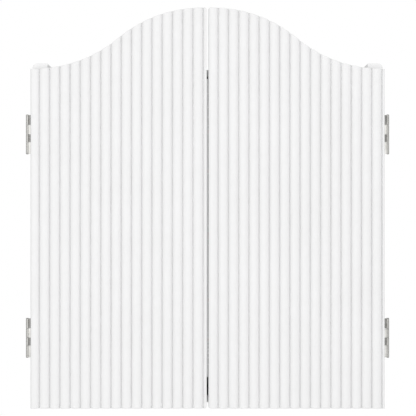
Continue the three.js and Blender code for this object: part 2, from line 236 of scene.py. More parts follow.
zincLook = {"bright": (0.62, 0.64, 0.66), "dull": (0.48, 0.5, 0.53), "gloss": (0.28, 0.45)}


def zincPlate(name):
    finish = Finish(name, **{"Metallic": 1.0})
    spangle = finish.cells(180.0, out="Color")
    patches = finish.node("SeparateColor", None, {0: spangle})
    colour = finish.blend(patches, rgba(*zincLook["bright"]), rgba(*zincLook["dull"]))
    scuffs = finish.noise(300.0, 4.0, (1, 1, 6))
    finish.relief([(scuffs, 0.00003)])
    return finish.done(colour, finish.ramp(scuffs, 0.3, 0.7, *zincLook["gloss"]))


wireLook = {"bright": (0.72, 0.72, 0.72), "dull": (0.55, 0.55, 0.56), "gloss": (0.2, 0.36)}


def brightWire(name):
    finish = Finish(name, **{"Metallic": 1.0})
    drawn = finish.noise(500.0, 3.0)
    colour = finish.blend(drawn, rgba(*wireLook["bright"]), rgba(*wireLook["dull"]))
    finish.relief([(drawn, 0.00002)])
    return finish.done(colour, finish.ramp(drawn, 0.3, 0.7, *wireLook["gloss"]))


bandLook = {"enamel": (0.012, 0.012, 0.013), "rubbedAndShadeFree": (0.05, 0.05, 0.052), "gloss": (0.3, 0.5)}


def blackBand(name):
    # black enamel on a rolled steel band, rubbed a little along its edges
    finish = Finish(name, **{"Specular IOR Level": 0.5})
    peel = finish.noise(350.0, 3.0)
    rub = finish.ramp(finish.noise(45.0, 5.0), 0.6, 0.75)
    colour = finish.blend(rub, rgba(*bandLook["enamel"]), rgba(*bandLook["rubbedAndShadeFree"]))
    finish.relief([(peel, 0.00006)])
    return finish.done(colour, finish.ramp(rub, 0.0, 1.0, *bandLook["gloss"]))


sisalDyes = {
    "black": ((0.007, 0.0068, 0.0065), (0.021, 0.02, 0.018)),
    "cream": ((0.58, 0.47, 0.29), (0.4, 0.305, 0.17)),
    "red": ((0.42, 0.02, 0.018), (0.26, 0.012, 0.012)),
    "green": ((0.012, 0.19, 0.06), (0.008, 0.1, 0.035)),
}


def dyedSisal(name, dye):
    # end-on fibre bundles, so the face is a mat of tiny dots with a few paler ends
    finish = Finish(name, **{"Sheen Weight": 0.08, "Sheen Roughness": 0.6, "Specular IOR Level": 0.15})
    bundles = finish.cells(1500.0, out="Color")
    ends = finish.node("SeparateColor", None, {0: bundles})
    patches = finish.noise(38.0, 5.0)
    amount = finish.ramp(ends * 0.55 + patches * 0.45, 0.25, 0.8)
    colour = finish.blend(amount, rgba(*dye[0]), rgba(*dye[1]))
    dots = finish.cells(1500.0)
    pricks = finish.ramp(finish.cells(230.0), 0.0, 0.12, 0.0, 1.0)
    finish.relief([(patches, 0.0006), (dots, 0.0003), (pricks, 0.0002)])
    return finish.done(colour, finish.ramp(ends, 0.0, 1.0, 0.82, 0.98))


chipLook = {"gluey": (0.24, 0.15, 0.075), "middling": (0.42, 0.29, 0.16), "pale": (0.6, 0.45, 0.28),
            "gloss": (0.75, 0.95)}


def rawChipboard(name):
    finish = Finish(name)
    chips = finish.cells(320.0, out="Color")
    shade = finish.node("SeparateColor", None, {0: chips})
    places = {"gluey": 0.0, "middling": 0.45, "pale": 1.0}
    stops = [(place, rgba(*chipLook[kind])) for kind, place in places.items()]
    finish.relief([(shade, 0.0003)])
    return finish.done(finish.tones(shade, stops), finish.ramp(shade, 0.0, 1.0, *chipLook["gloss"]))


chalkLook = {"slate": (0.022, 0.025, 0.027), "dust": (0.15, 0.155, 0.155)}


def chalkSlate(name):
    # wiped chalk leaves broad sideways ghosts and fine dust in the pores
    finish = Finish(name, **{"Specular IOR Level": 0.3})
    wipes = finish.noise(7.0, 5.0, (0.55, 1, 1.9), 0.6, (0, math.radians(24), 0))
    pores = finish.noise(900.0, 2.0)
    ghost = finish.ramp(wipes, 0.45, 0.85) * finish.ramp(pores, 0.3, 0.75, 0.35, 1.0)
    colour = finish.blend(ghost * 0.55, rgba(*chalkLook["slate"]), rgba(*chalkLook["dust"]))
    finish.relief([(pores, 0.00006)])
    return finish.done(colour, finish.ramp(ghost, 0.0, 0.6, 0.62, 0.85))


beechLook = {"pale": (0.62, 0.41, 0.235), "dark": (0.43, 0.255, 0.13), "fleck": (0.3, 0.16, 0.075)}


def lacqueredBeech(name):
    # grain runs along the rack; beech shows short dark flecks more than wide rings
    finish = Finish(name, **{"Coat Weight": 0.25, "Coat Roughness": 0.25})
    bands = finish.noise(1.0, 4.0, (6, 110, 150), 0.6)
    flecks = finish.ramp(finish.noise(1.0, 2.0, (110, 900, 1100), 0.5), 0.6, 0.72)
    base = finish.blend(finish.ramp(bands, 0.32, 0.7), rgba(*beechLook["pale"]), rgba(*beechLook["dark"]))
    colour = finish.blend(flecks * 0.6, base, rgba(*beechLook["fleck"]))
    finish.relief([(bands, 0.0002), (flecks, 0.00008)])
    return finish.done(colour, finish.ramp(bands, 0.3, 0.7, 0.36, 0.5))


plasticLook = {"white": (0.83, 0.83, 0.815), "shade": (0.76, 0.758, 0.745), "gloss": (0.42, 0.55)}


def mouldedPlastic(name):
    finish = Finish(name, **{"Subsurface Weight": 0.05})
    spark = finish.noise(1400.0, 2.0)
    flow = finish.noise(50.0, 3.0)
    colour = finish.blend(flow, rgba(*plasticLook["white"]), rgba(*plasticLook["shade"]))
    finish.relief([(spark, 0.00008)])
    return finish.done(colour, finish.ramp(spark, 0.3, 0.7, *plasticLook["gloss"]))


paint = {
    "doors": sprayedPaint("doorPaint", paintLook["doors"]),
    "carcass": sprayedPaint("carcassPaint", paintLook["carcass"]),
    "back": sprayedPaint("backPaint", paintLook["back"]),
    "frames": sprayedPaint("framePaint", paintLook["frames"]),
}
nickel = satinNickel("hingeNickel", nickelLooks["satin"])
paintedShadeNickel = satinNickel("nickelPaintedShade", nickelLooks["painted_shade"])  # painted shade: dark nickel on the tab fronts, standing in for the shade in the slot beside the barrel
zinc = zincPlate("zincSteel")
wireSteel = brightWire("boardWire")
bandEnamel = blackBand("bandEnamel")
dyes = {name: dyedSisal(name + "Sisal", dye) for name, dye in sisalDyes.items()}
chipboard = rawChipboard("chipboard")
slate = chalkSlate("chalkSlate")
beech = lacqueredBeech("rackBeech")
catchPlastic = mouldedPlastic("catchPlastic")
print("materials made:", len(bpy.data.materials))


def addPiece(name, mesh, materials, body, replaced=None, sharp=32):
    for material in materials if isinstance(materials, list) else [materials]:
        mesh.materials.append(material)
    mesh.polygons.foreach_set("use_smooth", [True] * len(mesh.polygons))
    mesh.set_sharp_from_angle(angle=math.radians(sharp))
    piece = bpy.data.objects.new(name, mesh)
    bpy.context.scene.collection.objects.link(piece)
    flats = piece.modifiers.new("flats", "WEIGHTED_NORMAL")  # keeps broad faces flat beside eased edges
    flats.keep_sharp = True
    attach(piece, body)
    if replaced:
        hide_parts(replaced)


def meshOf(bm):
    bmesh.ops.recalc_face_normals(bm, faces=bm.faces[:])
    mesh = bpy.data.meshes.new("mesh")
    bm.to_mesh(mesh)
    bm.free()
    return mesh


def meshFrom(points, faces):
    # a mesh from listed corners and faces, with its faces turned to agree
    listed = bpy.data.meshes.new("listed")
    listed.from_pydata([tuple(p) for p in points], [], faces)
    listed.validate()
    bm = bmesh.new()
    bm.from_mesh(listed)
    bpy.data.meshes.remove(listed)
    return meshOf(bm)


def settled(shape):
    # the mesh that a curve, a text or a solid with modifiers comes to; the shape itself goes
    bpy.context.scene.collection.objects.link(shape)
    mesh = bpy.data.meshes.new_from_object(shape.evaluated_get(bpy.context.evaluated_depsgraph_get()))
    bpy.data.objects.remove(shape)
    return mesh


def bevelled(bm, edges, width, segments):
    bmesh.ops.bevel(bm, geom=edges, offset=width, offset_type="OFFSET", segments=segments, profile=0.5,
                    affect="EDGES", clamp_overlap=True)
    return bm


def easeEdges(bm, width, segments=3, angle=25):
    edges = [e for e in bm.edges if e.is_manifold and e.calc_face_angle(0) > math.radians(angle)]
    return bevelled(bm, edges, width, segments)


def easedBox(low, high, edge, segments=3):
    bm = bmesh.new()
    bmesh.ops.create_cube(bm, size=1.0)
    size = Vector(high) - Vector(low)
    middle = Matrix.Translation((Vector(high) + Vector(low)) / 2)
    bmesh.ops.transform(bm, matrix=middle @ Matrix.Diagonal(size).to_4x4(), verts=bm.verts[:])
    return easeEdges(bm, edge, segments)


def prism(outline, sweep):
    # a flat outline carried straight along the sweep
    bm = bmesh.new()
    face = bm.faces.new([bm.verts.new(point) for point in outline])
    grown = bmesh.ops.extrude_face_region(bm, geom=[face])["geom"]
    moved = [v for v in grown if isinstance(v, bmesh.types.BMVert)]
    bmesh.ops.translate(bm, vec=sweep, verts=moved)
    bmesh.ops.recalc_face_normals(bm, faces=bm.faces[:])
    return bm


def joined(parts):
    bm = bmesh.new()
    for part in parts:
        mesh = bpy.data.meshes.new("part")
        part.to_mesh(mesh)
        part.free()
        bm.from_mesh(mesh)
        bpy.data.meshes.remove(mesh)
    return bm


def softened(node, edge):
    # the CAD shape with its flats merged and its corners eased
    bm = bmesh.new()
    bm.from_mesh(nodes[node].data)
    bmesh.ops.remove_doubles(bm, verts=bm.verts[:], dist=hair)
    bmesh.ops.dissolve_limit(bm, angle_limit=math.radians(1), verts=bm.verts[:], edges=bm.edges[:])
    return easeEdges(bm, edge, 2, 50)


def skinned(bm, loops):
    # faces from each closed loop to the next, and from the last to the first
    for one, two in zip(loops, loops[1:] + loops[:1]):
        for k in range(len(one)):
            after = (k + 1) % len(one)
            bm.faces.new([one[k], one[after], two[after], two[k]])
    return bm


def turned(profile, centre, axis, steps):
    # profile is (radius, along) points from one end on the axis to the other
    bm = bmesh.new()
    rings = []
    for radius, along in profile:
        if radius == 0:
            rings.append([bm.verts.new((0, along, 0))])
            continue
        turns = [2 * math.pi * k / steps for k in range(steps)]
        rings.append([bm.verts.new((radius * math.cos(t), along, radius * math.sin(t))) for t in turns])
    for one, two in zip(rings, rings[1:]):
        for k in range(steps):
            quad = [one[k % len(one)], one[(k + 1) % len(one)], two[(k + 1) % len(two)], two[k % len(two)]]
            corners = list(dict.fromkeys(quad))
            if len(corners) > 2:
                bm.faces.new(corners)
    bmesh.ops.recalc_face_normals(bm, faces=bm.faces[:])
    turn = Matrix.Rotation(math.radians(90), 4, "X") if axis == "Z" else Matrix.Identity(4)
    bmesh.ops.transform(bm, matrix=Matrix.Translation(centre) @ turn, verts=bm.verts[:])
    return bm


def quarterTurn(steps):
    return [math.radians(90 * k / steps) for k in range(steps + 1)]


def roundedEnds(radius, low, high, edge, steps=3):
    # a solid rod's profile with rounded rims
    arc = quarterTurn(steps)
    start = [(radius - edge + edge * math.sin(a), low + edge - edge * math.cos(a)) for a in arc]
    finish = [(radius - edge + edge * math.cos(a), high - edge + edge * math.sin(a)) for a in arc]
    return [(0, low), *start, *finish, (0, high)]


wireSides = 8


def hoop(radius, wire, y, steps):
    # a wire ring round the Y axis
    bm = bmesh.new()
    around = [2 * math.pi * j / wireSides for j in range(wireSides)]
    loops = []
    for k in range(steps):
        turn = 2 * math.pi * k / steps
        out = Vector((math.cos(turn), 0, math.sin(turn)))
        spots = [out * (radius + wire * math.cos(a)) + Vector((0, y + wire * math.sin(a), 0)) for a in around]
        loops.append([bm.verts.new(spot) for spot in spots])
    return skinned(bm, loops)


def rod(start, end, radius):
    # a straight round wire with domed ends
    direction = Vector(end) - Vector(start)
    bm = turned(roundedEnds(radius, 0, direction.length, radius * 0.6, 2), (0, 0, 0), "Y", wireSides)
    turn = Vector((0, 1, 0)).rotation_difference(direction).to_matrix().to_4x4()
    bmesh.ops.transform(bm, matrix=Matrix.Translation(start) @ turn, verts=bm.verts[:])
    return bm


door = {"plate": 0.013, "reedHeight": 0.005, "pitch": 0.0159, "firstReed": {"left": 0.0138, "right": 0.0154},
        "reedSteps": 18, "grooveFill": 0.0001, "fullness": 2.0, "frontEase": 0.0008, "outerEase": 0.0022,
        "backEase": 0.0006, "support": 0.0015, "gap": 0.0025, "closestCuts": 0.00004}
arch = {"rise": 0.0955, "turnOut": 0.142, "turnDrop": 0.050, "turnSlope": 0.82, "crownHandle": 0.063,
        "turnHandle": 0.037, "shoulderHandle": 0.049, "meetingRound": 0.004}


def bezier(corners, steps=60):
    t = np.linspace(0, 1, steps)[:, None]
    a, b, c, d = (np.array(corner) for corner in corners)
    return (1 - t) ** 3 * a + 3 * (1 - t) ** 2 * t * b + 3 * (1 - t) * t ** 2 * c + t ** 3 * d


def archCurve(outer, crownZ):
    shoulderZ = crownZ - arch["rise"]
    turn = (arch["turnOut"], crownZ - arch["turnDrop"])
    reach = arch["turnHandle"]
    lift = reach * arch["turnSlope"]
    crown = bezier([(0, crownZ), (arch["crownHandle"], crownZ), (turn[0] - reach, turn[1] + lift), turn])
    skirt = bezier([turn, (turn[0] + reach, turn[1] - lift), (outer - arch["shoulderHandle"], shoulderZ),
                    (outer, shoulderZ)])
    return np.vstack([crown, skirt[1:]])


def roundOff(distance, radius):
    # how far a rounded corner has dropped at a distance from its edge
    inside = np.clip(radius - distance, 0, radius)
    return radius - np.sqrt(radius ** 2 - inside ** 2)


def reedRise(fromGroove):
    pitch, height = door["pitch"], door["reedHeight"]
    across = 2 * np.mod(fromGroove, pitch) / pitch - 1
    rise = height * (1 - np.abs(across) ** door["fullness"]) ** (1 / door["fullness"])
    return np.maximum(rise, door["grooveFill"])


def doorColumns(left, right, groove):
    # where the door is cut into upright slices: across each reed, and closer at the rounded edges
    step = door["pitch"] / door["reedSteps"]
    first = math.ceil((left - groove) / step)
    last = math.floor((right - groove) / step)
    across = groove + step * np.arange(first, last + 1)
    bends = 1 - np.cos(np.radians(np.linspace(0, 90, 9)))
    rounds = (arch["meetingRound"], door["frontEase"], door["outerEase"])
    fine = np.concatenate([bends * width for width in rounds])
    spots = np.concatenate([across, left + fine, right - fine])
    spots = np.unique(np.round(np.clip(spots, left, right), 6))
    return spots[np.concatenate([[True], np.diff(spots) > door["closestCuts"]])]


def doorSection(frontY, backY, low, high):
    # one upright slice through the door, as (y, z) points round its outline
    ease, rear, support = door["frontEase"], door["backEase"], door["support"]
    turns = np.radians([0, 30, 60, 90])
    s, c = np.sin(turns), np.cos(turns)
    bottomFront = [(frontY + ease - ease * a, low + ease - ease * b) for a, b in zip(s, c)]
    topFront = [(frontY + ease - ease * b, high - ease + ease * a) for a, b in zip(s, c)]
    topBack = [(backY - rear + rear * a, high - rear + rear * b) for a, b in zip(s, c)]
    bottomBack = [(backY - rear + rear * b, low + rear - rear * a) for a, b in zip(s, c)]
    up = [(frontY, low + ease + support), (frontY, high - ease - support)]
    down = [(backY, high - rear - support), (backY, low + rear + support)]
    return [*bottomFront, *up, *topFront, *topBack, *down, *bottomBack]


def doorMesh(name):
    low, high = lowHigh("door_panel_" + name)
    backY, bottomZ, crownZ = high[1], low[2], high[2]
    outer = max(abs(low[0]), abs(high[0]))
    curve = archCurve(outer, crownZ)
    groove = low[0] + door["firstReed"][name]
    spots = doorColumns(low[0], high[0], groove)
    points = []
    for x in spots:
        fromMeeting = abs(x) - door["gap"] / 2
        corner = roundOff(fromMeeting, arch["meetingRound"])
        fromOuter = outer - abs(x)
        drop = roundOff(fromMeeting, door["frontEase"]) + roundOff(fromOuter, door["outerEase"])
        frontY = backY - door["plate"] - reedRise(x - groove) + drop
        top = np.interp(abs(x), curve[:, 0], curve[:, 1]) - corner
        points += [(x, y, z) for y, z in doorSection(frontY, backY, bottomZ + corner, top)]
    count, last = len(points) // len(spots), len(spots) - 1
    faces = [tuple(range(count - 1, -1, -1)), tuple(last * count + j for j in range(count))]
    strips = []
    for start in range(0, last * count, count):
        for j in range(count):
            after = (j + 1) % count
            strips.append((start + j, start + after, start + count + after, start + count + j))
    return meshFrom(points, strips + faces)


for name in sides:
    addPiece("reededDoor_" + name, doorMesh(name), paint["doors"], name + "_door",
             "door_panel_" + name)


stripLook = {"ease": 0.0009, "lipEase": 0.0004, "lipFront": -0.1061, "lipClear": 0.00005, "lipRoot": 0.002}


def closingStrip():
    # the bar behind the left door, with a thin lip standing forward in the gap between the doors
    low, high = lowHigh("meeting_strip")
    gapLeft = lowHigh("door_panel_left")[1][0] + stripLook["lipClear"]
    lipLow = (gapLeft, stripLook["lipFront"], low[2])
    lipHigh = (high[0], low[1] + stripLook["lipRoot"], high[2])
    return joined([easedBox(low, high, stripLook["ease"]), easedBox(lipLow, lipHigh, stripLook["lipEase"])])


addPiece("closingStrip", meshOf(closingStrip()), paint["doors"], "left_door", "meeting_strip")
print("doors built")


case = {"ease": 0.0012, "topCorner": 0.008, "cornerSteps": 10, "backEase": 0.0006}


def softCorner(start, corner, end):
    shares = [k / case["cornerSteps"] for k in range(case["cornerSteps"] + 1)]
    return [tuple((1 - t) ** 2 * a + 2 * (1 - t) * t * b + t ** 2 * c for a, b, c in zip(start, corner, end))
            for t in shares]


def sideOutline(low, high, sign):
    # seen from the front, with the upper outer corner rounded
    outer, inner = (high[0], low[0]) if sign > 0 else (low[0], high[0])
    reach = case["topCorner"]
    corner = softCorner((outer - sign * reach, high[2]), (outer, high[2]), (outer, high[2] - reach))
    return [(outer, low[2]), (inner, low[2]), (inner, high[2]), *corner]


for name, sign in sides.items():
    node = "side_panel_" + name
    low, high = lowHigh(node)
    outline = [(x, high[1], z) for x, z in sideOutline(low, high, sign)]
    panel = easeEdges(prism(outline, (0, low[1] - high[1], 0)), case["ease"])
    addPiece("sidePanel_" + name, meshOf(panel), paint["carcass"], "carcass", node)
for node, pieceName in (("top_panel", "topPanel"), ("bottom_panel", "bottomPanel")):
    addPiece(pieceName, meshOf(easedBox(*lowHigh(node), case["ease"])), paint["carcass"], "carcass",
             node)
for node, pieceName in (("back_panel", "backPanel"), ("hanging_rail_top", "railTop"),
                        ("hanging_rail_bottom", "railBottom")):
    addPiece(pieceName, meshOf(softened(node, case["backEase"])), paint["back"], "carcass",
             node)
print("carcass built")


# two of these widths bound the painted shade on the cabinet tabs: one in from the door edge, one out from the
# barrel
hinge = {"knuckles": (0.0155, 0.0142, 0.0124, 0.018), "knuckleGap": 0.0003, "barrel": 0.0022, "leaf": 0.0011,
         "overhang": 0.0004, "rubbedAndShadeFree": 0.0020, "collar": 0.0007, "cornerRound": 0.002, "rim": 0.00035,
         "screwSpacing": 0.036, "hole": 0.00335, "edge": 0.00012, "sharp": 20}
pin = {"shaft": 0.0011, "head": 0.0019, "cap": 0.0006, "dome": ((0, 0), (0.0010, 0.00005), (0.0016, 0.00025))}
screw = {"head": 0.0032, "headRim": 0.0002, "headDepth": 0.0017, "shank": 0.0014, "core": 0.0011,
         "plain": 0.004, "threadStart": 0.0025, "pitch": 0.0012, "slot": 0.0018, "slotHalf": 0.0004,
         "slotDepth": 0.0009, "slotClear": 0.001, "slotEase": 0.0001, "twist": 37, "long": 0.013,
         "short": 0.009}


def roundedRectangle(low, high, radius, steps=5):
    centres = [((high[0] - radius, high[1] - radius), 0), ((low[0] + radius, high[1] - radius), 90),
               ((low[0] + radius, low[1] + radius), 180), ((high[0] - radius, low[1] + radius), 270)]
    return [(cx + radius * math.cos(math.radians(start + 90 * k / steps)),
             cz + radius * math.sin(math.radians(start + 90 * k / steps)))
            for (cx, cz), start in centres for k in range(steps + 1)]


def circle(x, z, radius, steps=28):
    return [(x + radius * math.cos(2 * math.pi * k / steps), z + radius * math.sin(2 * math.pi * k / steps))
            for k in range(steps)]


def punchedSheet(outline, holes, backY, frontY, edge):
    # a filled 2D curve gives sheet metal with true holes and eased rims
    data = bpy.data.curves.new("sheet", "CURVE")
    data.dimensions = "2D"
    data.fill_mode = "BOTH"
    data.extrude = abs(frontY - backY) / 2 - edge
    data.bevel_depth = edge
    data.bevel_resolution = 1
    data.offset = -edge
    for loop in [outline, *holes]:
        spline = data.splines.new("POLY")
        spline.points.add(len(loop) - 1)
        for point, (x, z) in zip(spline.points, loop):
            point.co = (x, z, 0, 1)
        spline.use_cyclic_u = True
    mesh = settled(bpy.data.objects.new("sheet", data))
    bm = bmesh.new()
    bm.from_mesh(mesh)
    bpy.data.meshes.remove(mesh)
    bmesh.ops.remove_doubles(bm, verts=bm.verts[:], dist=hair / 10)
    upright = Matrix.Translation((0, (backY + frontY) / 2, 0)) @ Matrix.Rotation(math.radians(90), 4, "X")
    bmesh.ops.transform(bm, matrix=upright, verts=bm.verts[:])
    return bm


def leafOutline(far, clear, pinX, low, high, tabs):
    # a plate with rounded corners on its far side and one tab to the pin for each of its knuckles
    sign = math.copysign(1, clear - far)
    reach = hinge["cornerRound"]
    turns = quarterTurn(5)
    points = [(far + sign * reach * (1 - math.cos(a)), high - reach * (1 - math.sin(a))) for a in turns]
    for top, bottom in tabs:
        points += [(clear, top), (pinX, top), (pinX, bottom), (clear, bottom)]
    if tabs[0][0] < high - hair:
        points.insert(len(turns), (clear, high))
    if tabs[-1][1] > low + hair:
        points.append((clear, low))
    return points + [(far + sign * reach * (1 - math.sin(a)), low + reach * (1 - math.cos(a))) for a in turns]


def hingeLeaf(node, sign, onDoor):
    low, high = lowHigh(node)
    pinX = high[0] - hinge["barrel"] if sign > 0 else low[0] + hinge["barrel"]
    pinY = (low[1] + high[1]) / 2
    step = hinge["knuckleGap"] / 2 + hinge["leaf"] / 2
    leafMiddle = pinY + (-step if onDoor else step)
    backY, frontY = leafMiddle + hinge["leaf"] / 2, leafMiddle - hinge["leaf"] / 2
    doorEdge = abs(lowHigh("door_panel_right")[1][0])
    clear = sign * (doorEdge + hinge["overhang"])
    far = low[0] if sign > 0 else high[0]
    top, tabs = high[2], []
    for index, length in enumerate(hinge["knuckles"]):
        if index % 2 == onDoor:
            tabs.append((top, top - length))
        top -= length + hinge["knuckleGap"]
    screwX = sign * (abs(lowHigh("side_panel_right")[0][0]) + abs(lowHigh("side_panel_right")[1][0])) / 2
    middleZ = (low[2] + high[2]) / 2
    holes = [circle(screwX, middleZ + k * hinge["screwSpacing"] / 2, hinge["hole"]) for k in (-1, 1)]
    outline = leafOutline(far, clear, pinX, low[2], high[2], tabs)
    parts = [punchedSheet(outline, holes, backY, frontY, hinge["edge"])]
    for start, stop in tabs:
        barrel = roundedEnds(hinge["barrel"], stop, start, hinge["rim"])
        parts.append(turned(barrel, (pinX, pinY, 0), "Z", 32))
    leaf = joined(parts)
    if not onDoor:
        # cut the tabs across twice, so that only their middles take the painted shade, a dark nickel standing
        # in for the shade between barrel and door edge
        limits = (clear + sign * hinge["rubbedAndShadeFree"], pinX - sign * (hinge["barrel"] + hinge["collar"]))
        for edge in limits:
            geometry = leaf.verts[:] + leaf.edges[:] + leaf.faces[:]
            bmesh.ops.bisect_plane(leaf, geom=geometry, plane_co=(edge, 0, 0), plane_no=(1, 0, 0))
        inner, outer = sorted(limits)
        for face in leaf.faces:
            middle = face.calc_center_median()
            if inner < middle.x < outer and face.normal.y < -0.9:
                face.material_index = 1
    return leaf


def screwMesh(length):
    # countersunk cross-head screw: flat of the head at y = 0, point towards +Y
    rim, pitch = screw["headRim"], screw["pitch"]
    profile = [(0, 0), (screw["head"] - rim, 0), (screw["head"], rim), (screw["shank"], screw["headDepth"])]
    for k in range(int((length - screw["plain"]) / pitch)):
        start = screw["threadStart"] + k * pitch
        profile += [(screw["core"], start), (screw["shank"], start + pitch / 2)]
    profile += [(screw["core"], length - pitch), (0, length - rim)]
    arms = ((screw["slot"], screw["slotHalf"]), (screw["slotHalf"], screw["slot"]))
    recess = [easedBox((-x, -screw["slotClear"], -z), (x, screw["slotDepth"], z), screw["slotEase"], 1)
              for x, z in arms]
    body = bpy.data.objects.new("screw", meshOf(turned(profile, (0, 0, 0), "Y", 24)))
    cutter = bpy.data.objects.new("recess", meshOf(joined(recess)))
    bpy.context.scene.collection.objects.link(cutter)
    cut = body.modifiers.new("recess", "BOOLEAN")
    cut.operation = "DIFFERENCE"
    cut.solver = "EXACT"
    cut.use_self = True
    cut.object = cutter
    mesh = settled(body)
    bpy.data.objects.remove(cutter)
    return mesh


longScrew = screwMesh(screw["long"])
shortScrew = screwMesh(screw["short"])


def addScrew(name, node, body, towards, slotName, source):
    low, high = lowHigh(node)
    headY = low[1] if towards > 0 else high[1]
    mesh = source.copy()
    spin = Matrix.Rotation(math.radians(screw["twist"] * (len(bpy.data.objects) % 10)), 4, "Y")
    flip = Matrix.Rotation(0 if towards > 0 else math.pi, 4, "Z")
    middle = (low + high) / 2
    mesh.transform(Matrix.Translation((middle[0], headY, middle[2])) @ flip @ spin)
    addPiece(name, mesh, zinc if slotName == "zinc_steel" else nickel, body, node)


def hingePin(node):
    low, high = lowHigh(node)
    half = [*pin["dome"], (pin["head"], pin["cap"]), (pin["shaft"], pin["cap"])]
    profile = [(r, low[2] + z) for r, z in half] + [(r, high[2] - z) for r, z in half[::-1]]
    middle = (low + high) / 2
    return turned(profile, (middle[0], middle[1], 0), "Z", 28)


def addHinge(tag, sign, doorBody):
    for onDoor, kind, body in ((False, "cabinet", "carcass"), (True, "door", doorBody)):
        node = kind + "_leaf_" + tag
        leaf = meshOf(hingeLeaf(node, sign, onDoor))
        # the cabinet leaf's second finish is painted shade on its tab fronts
        finishes = nickel if onDoor else [nickel, paintedShadeNickel]
        addPiece(kind + "Leaf_" + tag, leaf, finishes, body, node, hinge["sharp"])
        for number in (1, 2):
            screwNode = f"{kind}_screw_{tag}_{number}"
            screwName = f"{kind}Screw_{tag}_{number}"
            addScrew(screwName, screwNode, body, -1 if onDoor else 1, "hinge_nickel", longScrew)
    node = "hinge_pin_" + tag
    addPiece("hingePin_" + tag, meshOf(hingePin(node)), nickel, "carcass", node)


for name, sign in sides.items():
    for level in levels:
        addHinge(level + "_" + name, sign, name + "_door")
print("hinges built")


# the moulding's section, as (in from its outer edge, out from the door)
frameSection = ((0, 0), (0, 0.0040), (0.0004, 0.0046), (0.0012, 0.0050), (0.0030, 0.0052), (0.0036, 0.0058),
                (0.0046, 0.0060), (0.0062, 0.0059), (0.0078, 0.0054), (0.0092, 0.0046), (0.0102, 0.0038),
                (0.0108, 0.0035), (0.0116, 0.0035), (0.0120, 0.0031), (0.0120, 0))


def mitredFrame(low, high):
    # the section carried round a rectangle, mitred at the corners
    bm = bmesh.new()
    loops = []
    for inset, depth in frameSection:
        left, right, bottom, top = low[0] + inset, high[0] - inset, low[2] + inset, high[2] - inset
        corners = [(left, bottom), (right, bottom), (right, top), (left, top)]
        loops.append([bm.verts.new((x, low[1] + depth, z)) for x, z in corners])
    return skinned(bm, loops)


rackLook = {"notch": 0.008, "notchDepth": 0.013, "pitch": 0.034, "notches": 3, "ease": 0.0011,
            "endRound": 0.005}


def rackOutline(low, high):
    # seen from above: a bar with rounded ends, and notches that open away from the door
    half, rounded = rackLook["notch"] / 2, rackLook["endRound"]
    seatY = high[1] - rackLook["notchDepth"] + half
    left, right, outY = low[0] + rounded, high[0] - rounded, high[1] - rounded
    turns = quarterTurn(5)
    points = [(low[0], low[1])]
    points += [(left - rounded * math.cos(a), outY + rounded * math.sin(a)) for a in turns]
    for k in range(rackLook["notches"]):
        x = (low[0] + high[0]) / 2 + (k - (rackLook["notches"] - 1) / 2) * rackLook["pitch"]
        points.append((x - half, high[1]))
        points += [(x - half * math.cos(a), seatY - half * math.sin(a)) for a in np.linspace(0, math.pi, 13)]
        points.append((x + half, high[1]))
    points += [(right + rounded * math.sin(a), outY + rounded * math.cos(a)) for a in turns]
    return [*points, (high[0], low[1])]


def dartRack(low, high):
    outline = [(x, y, low[2]) for x, y in rackOutline(low, high)]
    bm = prism(outline, (0, 0, high[2] - low[2]))
    rims = [e for e in bm.edges if e.calc_face_angle(0) > math.radians(60) and
            abs(e.verts[0].co.z - e.verts[1].co.z) < hair]
    return bevelled(bm, rims, rackLook["ease"], 3)


catchLook = {"pole": 0.0016, "poleInset": 0.0055, "poleDepth": 0.008, "poleEase": 0.0002,
             "poleShares": (0.3, 0.7), "proud": 0.0004, "ease": 0.0012}
strikeLook = {"cornerRound": 0.0022, "holeOffset": 0.013, "hole": 0.0017, "edge": 0.00015, "sharp": 20}
slateEase, bracketEase = 0.0004, 0.0003


def magneticCatch(low, high):
    return easedBox(low + np.array((0, catchLook["proud"], 0)), high, catchLook["ease"])


def polePlates(low, high):
    # two steel plates show at the front of the catch, one above the other
    plates = []
    for share in catchLook["poleShares"]:
        z = low[2] + share * (high[2] - low[2])
        start = (low[0] + catchLook["poleInset"], low[1], z - catchLook["pole"] / 2)
        stop = (high[0] - catchLook["poleInset"], low[1] + catchLook["poleDepth"], z + catchLook["pole"] / 2)
        plates.append(easedBox(start, stop, catchLook["poleEase"], 2))
    return joined(plates)


def strikePlate(low, high):
    plate = roundedRectangle((low[0], low[2]), (high[0], high[2]), strikeLook["cornerRound"])
    middle = (low + high) / 2
    holes = [circle(middle[0] + k * strikeLook["holeOffset"], middle[2], strikeLook["hole"]) for k in (-1, 1)]
    return punchedSheet(plate, holes, high[1], low[1], strikeLook["edge"])


def addInsideOfDoors():
    for name in sides:
        body = name + "_door"
        node = "score_frame_" + name
        frameMesh = meshOf(mitredFrame(*lowHigh(node)))
        addPiece("scoreFrame_" + name, frameMesh, paint["frames"], body, node)
        node = "score_board_" + name
        boardMesh = meshOf(easedBox(*lowHigh(node), slateEase, 2))
        addPiece("scoreBoard_" + name, boardMesh, slate, body, node)
        node = "dart_rack_" + name
        addPiece("dartRack_" + name, meshOf(dartRack(*lowHigh(node))), beech, body, node)
        node = "strike_plate_" + name
        plateMesh = meshOf(strikePlate(*lowHigh(node)))
        addPiece("strikePlate_" + name, plateMesh, zinc, body, node, strikeLook["sharp"])
        node = "magnetic_catch_" + name
        shellMesh = meshOf(magneticCatch(*lowHigh(node)))
        addPiece("catchShell_" + name, shellMesh, catchPlastic, "carcass", node)
        addPiece("catchPoles_" + name, meshOf(polePlates(*lowHigh(node))), zinc, "carcass")


addInsideOfDoors()
addPiece("boardBracket", meshOf(softened("board_bracket", bracketEase)), zinc, "carcass",
         "board_bracket")
for number in (1, 2):
    addScrew(f"bracketScrew_{number}", f"bracket_screw_{number}", "carcass", 1, "zinc_steel", shortScrew)
print("door fittings built")


